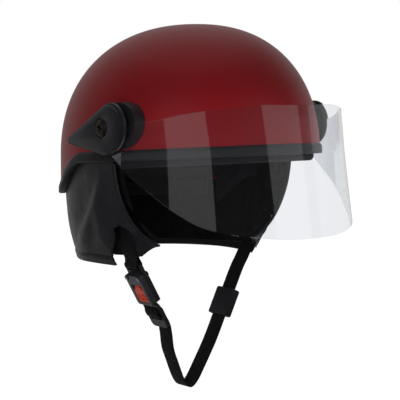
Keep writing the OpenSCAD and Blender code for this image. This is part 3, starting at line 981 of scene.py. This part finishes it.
@dataclass
class Linings:
    """Crown lining and the comfort pads under the foam's edge."""

    dome: Dome
    pads: tuple[PadSpec, ...] = (
        PadSpec("brow_roll", "brow_pad", -73, 73, 6.0, 13.0, -9.0),
        PadSpec("nape_roll", "nape_pad", 125, 235, 21.3, 13.0, -10.0),
        PadSpec("left_ear_roll", "side_pad_left", 93, 120, 21.3, 10.4, -22.0),
        PadSpec("right_ear_roll", "side_pad_right", 240, 267, 21.3, 10.4, -22.0),
    )

    def build(self) -> None:
        """Make the lining and all pads."""
        self._crown()
        for spec in self.pads:
            self._pad(spec)

    def _crown(self) -> None:
        """Quilted fabric under the crown, sewn in radial and ring channels."""

        def place(u: float, v: float) -> Point:
            rays = abs(math.sin(math.pi * u * 16)) ** 0.5
            rings = abs(math.sin(math.pi * v * 4)) ** 0.5
            puff = 1.8 * min(rays + 0.6 * smooth((v - 0.8) / 0.2), 1.0) * rings
            return self.dome.wall_point(-2 * math.pi * u, v, 21.6 + 1.2 + puff, 18.0)

        crown = surface("quilted_crown_lining", 192, 64, place, weld=True)
        activate(crown)
        bpy.ops.object.mode_set(mode="EDIT")
        bpy.ops.mesh.select_all(action="SELECT")
        bpy.ops.mesh.flip_normals()
        bpy.ops.object.mode_set(mode="OBJECT")
        modify(crown, "SOLIDIFY", thickness=1.0 * MM, offset=-1)
        soften(crown, 60)
        dress(crown, LINING, Body.HELMET, "lining_fabric", "crown_lining")

    def _pad(self, spec: PadSpec) -> None:
        """A stuffed roll with a sewn seam along its inner side.

        Args:
            spec: which pad.
        """
        high = 5.0

        def place(u: float, v: float) -> Point:
            angle = math.radians(mix(spec.start, spec.stop, u))
            end = math.sin(math.pi * min(max(u, 0.03), 0.97))
            thick = spec.thick * (0.35 + 0.65 * end ** 0.4)
            turn = 2 * math.pi * v
            c, s = math.cos(turn), math.sin(turn)
            squared = (abs(c) ** 3 + abs(s) ** 3) ** (-1 / 3)
            seam = 0.10 * ridge((v - 0.08) * 40, 1.0)
            pull = 0.02 * math.sin(u * (spec.stop - spec.start) * 1.3) * (1 - abs(s))
            reach = squared * (1 - seam + pull)
            return self.dome.near_rim(angle, mix(spec.low, high, 0.5 + 0.5 * reach * s),
                                      spec.inset + thick * (0.5 + 0.5 * reach * c))

        steps = max(40, int((spec.stop - spec.start) * 1.2))
        pad = surface(spec.name, steps, 48, place, weld=True)
        cap_holes(pad)
        soften(pad, 60)
        dress(pad, PAD_KNIT, Body.HELMET, "pad_fabric", spec.node)


@dataclass
class CurtainAssembly:
    """The leatherette curtain with its bands, hem, arched facings, stitches and soft lining.

    Attributes:
        curtain: the form that all the layers follow.
        arch_foot: station of the opening's rear edge at the hem.
        arch_toe: station of its front edge at the hem.
        arch_middle: station of the middle of its round top.
        arch_half: half the width there.
        arch_spring: height at which the round top starts.
        arch_rise: height of the round top.
        below: a height well below the hem, where cutters end.
    """

    curtain: Curtain
    arch_foot: float = 15.2
    arch_toe: float = -3.0
    arch_middle: float = -5.1
    arch_half: float = 7.5
    arch_spring: float = -68.0
    arch_rise: float = 8.0
    below: float = -125.0

    def build(self) -> None:
        """Make every piece of the curtain."""
        self._leatherette()
        self._lining()
        for side in Side:
            self._band(side)
            self._facing(side)
            self._binding(side)
        self._stitching()

    def _cut_notches(self, obj: bpy.types.Object, outline: Sequence[tuple[float, float]]) -> None:
        """Cut both arched openings out of a sheet.

        Args:
            obj: the sheet.
            outline: the opening along Y and Z.
        """
        count = len(outline)
        bpy.ops.mesh.primitive_cylinder_add(vertices=count, radius=1, depth=2)
        cutter = bpy.context.active_object
        for vertex in cutter.data.vertices:
            index = round(math.atan2(vertex.co.x, vertex.co.y) / (2 * math.pi) * count) % count
            y, z = outline[index]
            vertex.co = Vector((0.2 * vertex.co.z, y * MM, z * MM))
        face_outwards(cutter)
        modify(obj, "BOOLEAN", object=cutter, operation="DIFFERENCE", solver="EXACT")
        bpy.data.objects.remove(cutter, do_unlink=True)

    def _sheet(self, name: str, inset: float, thick: float, levels: tuple[float, float],
               swell: Callable[[float, float, float, float], float]) -> bpy.types.Object:
        """One hanging sheet that runs round the nape from edge to edge.

        Args:
            name: the piece's name.
            inset: distance of its outer face inside the leatherette's.
            thick: its thickness.
            levels: its upper and lower edge, as levels of the curtain.
            swell: how far a point stands out, given u, level, Y and Z.

        Returns:
            The sheet.
        """

        def place(u: float, v: float) -> Point:
            turn = 2 * u - 1
            side = Side.RIGHT if turn < 0 else Side.LEFT
            ahead = 1 - abs(turn)
            level = mix(levels[1], levels[0], v)
            x, y, z = self.curtain.point(ahead, level, inset)
            out = swell(ahead, level, y, z)
            x, y, z = self.curtain.point(ahead, level, inset - out)
            return mirrored((x, y, z), side)

        sheet = surface(name, 300, 56, place)
        activate(sheet)
        return modify(sheet, "SOLIDIFY", thickness=thick * MM, offset=-1)

    def _leatherette(self) -> None:
        """The outer sheet with its slack folds and turned hem."""
        sheet = self._sheet("leatherette_curtain", 0.0, 1.6, (0.0, 1.0),
                            lambda u, t, y, z: self.curtain.folds(y, z) + self.curtain.clear_of_hem(z))
        arch = self._arch(0.0)
        self._cut_notches(sheet, [*arch, (arch[-1][0] + 6.0, self.below), (arch[0][0] + 6.0, self.below)])
        soften(sheet, 45)
        dress(sheet, LEATHERETTE, Body.HELMET, "leatherette", "flap_curtain")

    def _lining(self) -> None:
        """The soft inner sheet with its upright pleats."""
        sheet = self._sheet("soft_inner_curtain", 10.3, 2.4, (0.04, 0.9),
                            lambda u, t, y, z: -0.5 - 0.5 * math.sin(u * 90) * smooth(t * 3))
        y, z, radius = self.curtain.lining_slot
        foot = self.curtain.slot_foot
        top = [(y + radius * math.cos(math.pi * k / 40), z + radius * math.sin(math.pi * k / 40))
               for k in range(41)]
        self._cut_notches(sheet, [*top, (y - radius + 3, foot), (y + radius - 3, foot)])
        soften(sheet, 50)
        dress(sheet, LINING, Body.HELMET, "lining_fabric", "flap_lining")

    def _band(self, side: Side) -> None:
        """The doubled band along the front edge.

        Args:
            side: which side of the wearer.
        """

        def place(u: float, v: float) -> Point:
            level = mix(0.985, 0.14, v)
            ahead = self.curtain.band_reach(level) * u
            _, y, z = self.curtain.point(ahead, level)
            crown = 1.0 - 0.55 * ridge(u - 0.12, 0.05) - 0.55 * ridge(u - 0.88, 0.05)
            out = self.curtain.folds(y, z) * (1 - 0.6 * (1 - u)) + 0.5 + 0.7 * crown
            return mirrored(self.curtain.point(ahead, level, -out), side)

        band = surface(f"front_band_{side.name.lower()}", 20, 90,
                       place if side is Side.LEFT else (lambda u, v: place(1 - u, v)))
        modify(band, "SOLIDIFY", thickness=1.1 * MM, offset=-1)
        soften(band, 60)
        dress(band, LEATHERETTE, Body.HELMET, "leatherette", f"flap_band_{side.name.lower()}")

    def _binding(self, side: Side) -> None:
        """The rolled edge of the front corner.

        Args:
            side: which side of the wearer.
        """
        radius = 1.5
        corner = 0.72

        def place(u: float, v: float) -> Point:
            level = mix(0.1, 1.0, min(u / corner, 1.0))
            ahead = 0.08 * max(u - corner, 0) / (1 - corner)
            x, y, z = self.curtain.point(ahead, level, 0.8)
            turn = 2 * math.pi * v
            back, down = (1.0, 0.0) if u < corner else (0.4, 0.8)
            return mirrored((x + radius * math.cos(turn), y - radius * math.sin(turn) * back,
                             z - radius * math.sin(turn) * down), side)

        roll = surface(f"rolled_edge_{side.name.lower()}", 120, 12, place, weld=True)
        cap_holes(roll)
        soften(roll, 60)
        dress(roll, LEATHERETTE, Body.HELMET, "leatherette")

    def _arch(self, offset: float) -> list[tuple[float, float]]:
        """A line that runs up one side of the opening, over it and down the other.

        Args:
            offset: distance outside the opening.

        Returns:
            Places along Y and Z.
        """
        rear = self.arch_middle + self.arch_half
        front = self.arch_middle - self.arch_half
        spring, hem = self.arch_spring, self.curtain.drop
        line = [(self.arch_foot + offset, 0.8 - hem)]
        line += [(mix(self.arch_foot, rear, smooth(k / 9)) + offset, mix(6.0 - hem, spring, k / 9))
                 for k in range(1, 10)]
        wide, tall = self.arch_half + offset, self.arch_rise + offset
        line += [(self.arch_middle + wide * math.cos(a), spring + tall * math.sin(a))
                 for a in (math.pi * k / 24 for k in range(1, 25))]
        for k in range(1, 8):
            y = mix(front, self.arch_toe, k / 7) - offset
            line.append((y, max(mix(spring, -90.5, k / 7), self.curtain.hem_at(y) + 0.3)))
        return line

    def _facing(self, side: Side) -> None:
        """The stitched facing round the strap's opening.

        Args:
            side: which side of the wearer.
        """
        lines = [self._arch(offset) for offset in (0.2, 1.6, 5.0, 8.2, 9.2)]
        heights = (0.9, 1.6, 1.7, 1.5, 0.7)
        count = len(lines[0])

        def place(u: float, v: float) -> Point:
            row = round(v * (len(lines) - 1))
            y, z = lines[row][round(u * (count - 1))]
            y = max(y, self.curtain.edge_y + 1.0)
            x, y, z = self.curtain.at(y, z)
            out = self.curtain.folds(y, z) + heights[row] + self.curtain.clear_of_hem(z) * 0.5
            return mirrored((x + out, y, z), side)

        facing = surface(f"arch_facing_{side.name.lower()}", count - 1, len(lines) - 1, place)
        face_outwards(facing)
        modify(facing, "SOLIDIFY", thickness=1.2 * MM, offset=-1)
        modify(facing, "SUBSURF", levels=1)
        soften(facing, 60)
        dress(facing, LEATHERETTE, Body.HELMET, "leatherette")

    def _stitching(self) -> None:
        """Rows of real stitches along the bands, the facings and the hem."""
        rows = []
        for side in Side:
            for across in (0.15, 0.87):
                line = []
                for k in range(120):
                    level = mix(0.16, 0.97, k / 119)
                    ahead = self.curtain.band_reach(level) * across
                    _, y, z = self.curtain.point(ahead, level)
                    slack = self.curtain.folds(y, z) * (1 - 0.6 * (1 - across))
                    line.append(mirrored(self.curtain.point(ahead, level, -slack - 1.05), side))
                rows.append(spaced(line, 3.4))
            line = []
            for y, z in self._arch(7.4):
                y = max(y, self.curtain.edge_y + 1.0)
                x, y, z = self.curtain.at(y, z)
                line.append(mirrored((x + self.curtain.folds(y, z) + 1.5, y, z), side))
            rows.append(spaced(line, 3.4))
            line = []
            for k in range(200):
                ahead = mix(0.2, 1.0, k / 199)
                level = 0.915
                _, y, z = self.curtain.point(ahead, level)
                out = self.curtain.folds(y, z) + self.curtain.clear_of_hem(z)
                line.append(mirrored(self.curtain.point(ahead, level, -out - 0.1), side))
            rows.append(spaced(line, 3.4))
        made = [beads(f"stitch_row_{i}", row, 0.75) for i, row in enumerate(rows)]
        stitches = join(made, "curtain_stitches")
        dress(stitches, THREAD, Body.HELMET, "leatherette")


@dataclass
class VisorAssembly:
    """The clear visor with its teardrop pivot covers."""

    ear_x: float = 119.8
    reach: float = 148.0
    thick: float = 2.0
    pivot: tuple[float, float] = (-23.5, 32.0)
    circles: tuple[Point, ...] = ((-35.0, 33.0, 22.0), (-26.0, 26.5, 19.0), (32.6, 19.0, 3.4))

    def build(self) -> None:
        """Make the sheet and both covers."""
        self._sheet()
        for side in Side:
            self._cover(side)

    def _outline(self, grow: float, count: int = 144) -> list[tuple[float, float]]:
        """The teardrop outline, grown or shrunk.

        Args:
            grow: distance outside the drawn outline.
            count: number of points.

        Returns:
            Places along Y and Z.
        """
        done = []
        for k in range(count):
            angle = 2 * math.pi * k / count
            c, s = math.cos(angle), math.sin(angle)
            y, z, radius = max(self.circles, key=lambda o: o[0] * c + o[1] * s + o[2])
            done.append((y + (radius + grow) * c, z + (radius + grow) * s))
        return done

    def _sheet(self) -> None:
        """The curved clear sheet and its two flat ears, in one piece."""

        def place(u: float, v: float) -> Point:
            angle = math.radians(mix(-90, 90, u))
            t = abs(2 * u - 1)
            z = mix(-64 + along((0, 2.5, 12, 45, 80), t), 53 + along((0, 0, -6, -16, -16), t), v)
            s, c = math.sin(angle), math.cos(angle)
            k = (abs(s) ** 2.12 + abs(c) ** 2.12) ** (-1 / 2.12)
            wide = self.ear_x + 6.5 * max(0.0, 10 - z) / 100
            return (wide * s * k, -10 - (self.reach - 17 * z / 100) * c * k, z)

        sheet = surface("clear_visor", 240, 40, place)
        modify(sheet, "SOLIDIFY", thickness=self.thick * MM, offset=0)
        parts = [sheet]
        outline = self._outline(-0.6)
        for side in Side:
            faces = (self.ear_x - 1.0, self.ear_x + 1.0)

            def ear(u: float, v: float, side: Side = side) -> Point:
                index = round(u * len(outline)) % len(outline)
                y, z = outline[index]
                y = max(y, self.pivot[0] - 9.0)
                angle = 2 * math.pi * index / len(outline)
                ring = round(v * 3)
                if ring in (1, 2):
                    return mirrored((faces[ring - 1], y, z), side)
                bore = 6.05
                return mirrored((faces[0] if ring == 0 else faces[1],
                                 self.pivot[0] + bore * math.cos(angle),
                                 self.pivot[1] + bore * math.sin(angle)), side)

            parts.append(surface(f"ear_{side.name.lower()}", len(outline), 3, ear, weld=True))
        visor = join(parts, "clear_visor")
        soften(visor, 40)
        visor.visible_shadow = False
        dress(visor, CLEAR, Body.VISOR, "clear_visor", "visor")

    def _cover(self, side: Side) -> None:
        """A stepped and bevelled cover with a well for the screw's head.

        Args:
            side: which side of the wearer.
        """
        base = self.ear_x + 1.2 + 0.2
        rings = [(0.0, 0.0), (2.2, 0.0), (2.6, -0.15), (2.85, -0.55), (2.9, -1.9), (3.05, -2.25), (4.3, -2.5),
                 (4.75, -2.75), (5.0, -3.4)]
        outlines = [self._outline(grow) for _, grow in rings]
        count = len(outlines[0])
        wells = [(5.0, 10.2), (4.85, 9.5), (4.4, 9.1), (2.6, 9.1), (2.6, 6.1), (0.0, 6.1)]

        def place(u: float, v: float) -> Point:
            index = round(u * count) % count
            ring = round(v * (len(rings) + len(wells)))
            if ring < len(rings):
                y, z = outlines[ring][index]
                return mirrored((base + rings[ring][0], y, z), side)
            if ring < len(rings) + len(wells):
                height, radius = wells[ring - len(rings)]
                angle = 2 * math.pi * index / count
                return mirrored((base + height, self.pivot[0] + radius * math.cos(angle),
                                 self.pivot[1] + radius * math.sin(angle)), side)
            y, z = outlines[0][index]
            return mirrored((base, y, z), side)

        cover = surface(f"teardrop_cover_{side.name.lower()}", count, len(rings) + len(wells), place,
                        weld=True)
        soften(cover, 32)
        dress(cover, BLACK_PLASTIC, Body.VISOR, "black_plastic", f"pivot_cover_{side.name.lower()}")


@dataclass(frozen=True)
class StrapSpec:
    """One flat strap.

    Attributes:
        name: the piece's name.
        node: the CAD node that it stands for.
        route: points of its centreline in millimetres.
        length: its length in metres; not used.
        exit: where it leaves its anchor plate, in metres; not used.
        fittings: CAD nodes that are threaded on it; not used.
    """

    name: str
    node: str
    route: tuple[Point, ...]
    length: float
    exit: Point
    fittings: tuple[str, ...]


SHORT_STRAP = StrapSpec(
    "short_strap", "strap_right",
    ((-99.4, -3, 12), (-101.6, -3, 11.2), (-104, -3, 9), (-104.8, -3, 4), (-100.5, -3, -20),
     (-94.3, -2.5, -45), (-88.8, -2.5, -55), (-84.9, -2.5, -60), (-83.5, -2.5, -64), (-82.5, -2, -75),
     (-80.5, -1, -85), (-77, 0, -93), (-76, 1.5, -98), (-74.8, 3.4, -101.2), (-72, 4, -102.8),
     (-70, 4, -102.4), (-68.8, 4, -100.8), (-68.6, 4, -97.6), (-70.6, 4, -94.2), (-72.6, 4, -91)),
    0.1411, (-0.0994, -0.003, 0.012),
    ("buckle_base", "buckle_cover", "buckle_rivets", "lever_pin", "lever_spring", "release_lever"))
CHIN_STRAP = StrapSpec(
    "chin_webbing", "chin_strap",
    ((99.4, -3, 12), (101.6, -3, 11.2), (104, -3, 9), (104.8, -3, 4), (100.5, -3, -20), (94.3, -2.5, -45),
     (88.8, -2.5, -55), (84.9, -2.5, -60), (83.5, -2.5, -64), (79, -2, -75), (71, -0.5, -83), (64.5, 1, -91),
     (59, 2.5, -102), (52, 4.5, -117), (25.4, 4.5, -172), (17, 6, -190), (8, 7.5, -207), (3, 8.2, -216),
     (-2, 8.5, -222), (-7, 8.5, -224.2), (-12, 8.3, -221), (-17.5, 7.3, -213), (-24.5, 6, -198),
     (-30.5, 5, -184), (-33.4, 4.3, -168), (-36, 4, -158.4), (-41, 4, -149.8), (-45, 4, -142.8),
     (-47.7, 4, -141.1), (-49.8, 4, -141.4), (-51.1, 4, -143.1), (-51, 4, -146.4), (-48.8, 4, -150.2),
     (-46.2, 4, -152), (-44, 4, -152), (-43, 4, -151.2)),
    0.3842, (0.0994, -0.003, 0.012), ("buckle_tongue", "strap_slider"))


@dataclass
class Straps:
    """The short strap and the chin strap."""

    width: float = 20.0
    thick: float = 1.6

    def build(self) -> None:
        for spec in (SHORT_STRAP, CHIN_STRAP):
            self._strap(spec)

    def _strap(self, spec: StrapSpec) -> None:
        """A woven band with rounded selvedges along its route.

        Args:
            spec: which strap.
        """
        path = refine(spec.route, 8)
        count = len(path)
        half, deep = self.width / 2 - 0.1, self.thick / 2 - 0.08
        section = rounded([(half, deep), (half, -deep), (-half, -deep), (-half, deep)], 0.7, 3)
        walked = [0.0]
        for a, b in zip(path[:-1], path[1:]):
            walked.append(walked[-1] + (Vector(b) - Vector(a)).length)

        def place(u: float, v: float) -> Point:
            i = round(u * (count - 1))
            ahead = Vector(path[min(i + 1, count - 1)]) - Vector(path[max(i - 1, 0)])
            flat = Vector((ahead.x, 0.0, ahead.z)).normalized()
            across, out = section[round(v * len(section)) % len(section)]
            x, y, z = path[i]
            return (x - flat.z * out, y + across, z + flat.x * out)

        strap = surface(spec.name, count - 1, len(section), place, weld=True)
        cap_holes(strap)
        layer = strap.data.uv_layers.active
        for polygon in strap.data.polygons:
            for loop in polygon.loop_indices:
                co = strap.data.vertices[strap.data.loops[loop].vertex_index].co
                u = layer.data[loop].uv.x
                layer.data[loop].uv = (walked[min(round(u * (count - 1)), count - 1)] * MM, co.y)
        soften(strap, 50)
        dress(strap, WEBBING, Body.HELMET, "webbing", spec.node)
        if spec is CHIN_STRAP:
            strap.parent = None
            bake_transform(strap)


@dataclass
class Hardware:
    """The CAD parts whose shape is already right: edges softened, finishes given."""

    kept: tuple[str, ...] = (
        "foam_liner", "pivot_base_right", "pivot_base_left", "pivot_spacer_right", "pivot_spacer_left",
        "anchor_plate_right", "anchor_plate_left", "pivot_nut_right", "pivot_nut_left",
        "pivot_washer_right", "pivot_washer_left", "pivot_screw_right", "pivot_screw_left",
        "buckle_base", "buckle_cover", "buckle_rivets", "lever_pin", "lever_spring", "release_lever",
        "buckle_tongue", "strap_slider")
    rounding: dict[str, float] = field(default_factory=lambda: {
        "buckle_base": 0.6, "buckle_cover": 0.6, "release_lever": 0.35, "buckle_tongue": 0.6,
        "strap_slider": 0.6, "pivot_base_right": 0.8, "pivot_base_left": 0.8})

    def dress(self) -> None:
        """Give each kept part its finish and softened edges."""
        for node in self.kept:
            obj = bpy.data.objects[node]
            slot = self._slot(node)
            obj.data.materials.clear()
            obj.data.materials.append(SLOTS[slot].material())
            self._soften(obj, self.rounding.get(node, 0.15))
            LOG.info("part %s in %s", node, slot)

    @staticmethod
    def _slot(node: str) -> str:
        """Find a node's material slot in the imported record.

        Args:
            node: the node's name.

        Returns:
            The slot's name.
        """
        return next(s["material_slot"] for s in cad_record()["subparts"] if s["node"] == node)

    @staticmethod
    def _soften(obj: bpy.types.Object, radius: float) -> None:
        """Round a part's sharp edges without changing its mesh.

        Args:
            obj: the part.
            radius: width of the rounding in millimetres.
        """
        weld = obj.modifiers.new("Weld", "WELD")
        weld.merge_threshold = 1e-6
        flat = obj.modifiers.new("Flatten", "DECIMATE")
        flat.decimate_type = "DISSOLVE"
        flat.angle_limit = math.radians(0.5)
        bevel = obj.modifiers.new("Bevel", "BEVEL")
        bevel.width = radius * MM
        bevel.segments = 2
        bevel.limit_method = "ANGLE"
        bevel.angle_limit = math.radians(35)
        bevel.harden_normals = False
        for polygon in obj.data.polygons:
            polygon.use_smooth = True
        shade = obj.modifiers.new("Normals", "WEIGHTED_NORMAL")
        shade.keep_sharp = True


FRAME: dict = {}


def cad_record() -> dict:
    """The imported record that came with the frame.

    Returns:
        The record.
    """
    return FRAME["record"]


# ---------------------------------------------------------------- the studio


@dataclass
class Studio:
    """Camera, soft lights and a pale floor.

    Attributes:
        azimuth: degrees the camera stands round from the face, towards the wearer's right.
        elevation: degrees that it stands above level.
        distance: how far it stands from the object, in metres.
        aim: what it looks at, as steps to its right and up from the origin.
        lens: focal length on a 36 mm frame.
    """

    azimuth: float = 37.56
    elevation: float = 4.78
    distance: float = 1.39167
    aim: tuple[float, float] = (0.00399, -0.04088)
    lens: float = 129.01

    def axes(self) -> tuple[Vector, Vector, Vector]:
        """Directions of the camera.

        Returns:
            Towards the camera, to its right, and up.
        """
        a, e = math.radians(self.azimuth), math.radians(self.elevation)
        back = Vector((-math.sin(a) * math.cos(e), -math.cos(a) * math.cos(e), math.sin(e)))
        right = Vector((math.cos(a), -math.sin(a), 0))
        up = Vector((math.sin(a) * math.sin(e), math.cos(a) * math.sin(e), math.cos(e)))
        return back, right, up

    def camera(self) -> None:
        """Place the camera."""
        back, right, up = self.axes()
        target = right * self.aim[0] + up * self.aim[1]
        data = bpy.data.cameras.new("Camera")
        data.lens = self.lens
        data.sensor_width = 36.0
        data.clip_end = 50
        made = bpy.data.objects.new("Camera", data)
        bpy.context.collection.objects.link(made)
        made.location = target + back * self.distance
        made.rotation_euler = back.to_track_quat("Z", "Y").to_euler()
        bpy.context.scene.camera = made

    def light(self, name: str, towards: tuple[float, float, float], power: float, size: float,
              mirrored_in: bool = True) -> None:
        """Place one softbox that faces the object.

        Args:
            name: its name.
            towards: its place as steps right, up and towards the camera, in metres.
            power: watts.
            size: width in metres.
            mirrored_in: whether shiny pieces mirror it.
        """
        back, right, up = self.axes()
        data = bpy.data.lights.new(name, "AREA")
        data.energy = power
        data.size = size
        made = bpy.data.objects.new(name, data)
        bpy.context.collection.objects.link(made)
        made.location = right * towards[0] + up * towards[1] + back * towards[2]
        made.rotation_euler = made.location.to_track_quat("Z", "Y").to_euler()
        made.visible_glossy = mirrored_in
        made.visible_transmission = mirrored_in

    def build(self) -> None:
        """Set up the floor, the lights and the surroundings."""
        self.light("left softbox", (-1.15, 0.5, 1.9), 3.4, 1.5)
        self.light("right softbox", (1.9, 0.6, 1.2), 3.4, 1.5)
        self.light("top softbox", (-0.2, 2.2, -0.2), 7, 2.4)
        self.light("front fill", (-0.5, -0.2, 2.6), 19, 1.6, mirrored_in=False)
        bpy.ops.mesh.primitive_plane_add(size=24, location=(0, 0, -0.75))
        floor = bpy.context.active_object
        floor.name = "studio_floor"
        floor.visible_diffuse = False
        floor.visible_glossy = False
        material = bpy.data.materials.new("Matt white studio paper")
        material.use_nodes = True
        shader = material.node_tree.nodes["Principled BSDF"]
        shader.inputs["Base Color"].default_value = (0.03, 0.03, 0.03, 1.0)
        shader.inputs["Roughness"].default_value = 0.9
        shader.inputs["Emission Color"].default_value = (1.0, 1.0, 1.0, 1.0)
        shader.inputs["Emission Strength"].default_value = 1.0
        floor.data.materials.append(material)
        world = bpy.data.worlds.new("Studio")
        world.use_nodes = True
        tree = world.node_tree
        tree.nodes.clear()
        path = add_node(tree, "ShaderNodeLightPath").outputs
        behind = -self.axes()[0]
        facing = add_node(tree, "ShaderNodeVectorMath", {"operation": "DOT_PRODUCT", 1: tuple(behind)},
                          {0: add_node(tree, "ShaderNodeTexCoord").outputs["Generated"]})
        beyond = add_node(tree, "ShaderNodeMath", {"operation": "GREATER_THAN", 1: 0.0},
                          {0: facing.outputs["Value"]})
        through = add_node(tree, "ShaderNodeMath", {"operation": "MULTIPLY"},
                           {0: path["Is Transmission Ray"], 1: beyond.outputs[0]})
        seen = add_node(tree, "ShaderNodeMath", {"operation": "MAXIMUM"},
                        {0: path["Is Camera Ray"], 1: through.outputs[0]})
        backdrop = add_node(tree, "ShaderNodeMapRange", {
            "interpolation_type": "SMOOTHSTEP", "From Min": 0.1, "From Max": 0.85, "To Min": 0.05,
            "To Max": 0.6}, {"Value": facing.outputs["Value"]})
        strength = add_node(tree, "ShaderNodeMath", {"operation": "MAXIMUM"},
                            {0: backdrop.outputs[0], 1: seen.outputs[0]})
        sky = add_node(tree, "ShaderNodeBackground", {"Color": (1.0, 1.0, 1.0, 1.0)},
                       {"Strength": strength.outputs[0]})
        add_node(tree, "ShaderNodeOutputWorld", links={"Surface": sky.outputs[0]})
        bpy.context.scene.world = world
        bpy.context.scene.view_settings.view_transform = "Standard"


def main() -> None:
    """Load the frame, set up the studio and make every piece."""
    FRAME.update(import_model())
    bpy.ops.object.select_all(action="DESELECT")
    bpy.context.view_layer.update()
    studio = Studio()
    studio.camera()
    Straps().build()
    studio.build()
    dome = Dome()
    ShellAssembly(dome).build()
    Linings(dome).build()
    CurtainAssembly(Curtain(dome)).build()
    VisorAssembly().build()
    Hardware().dress()


if __name__ == "__main__":
    main()
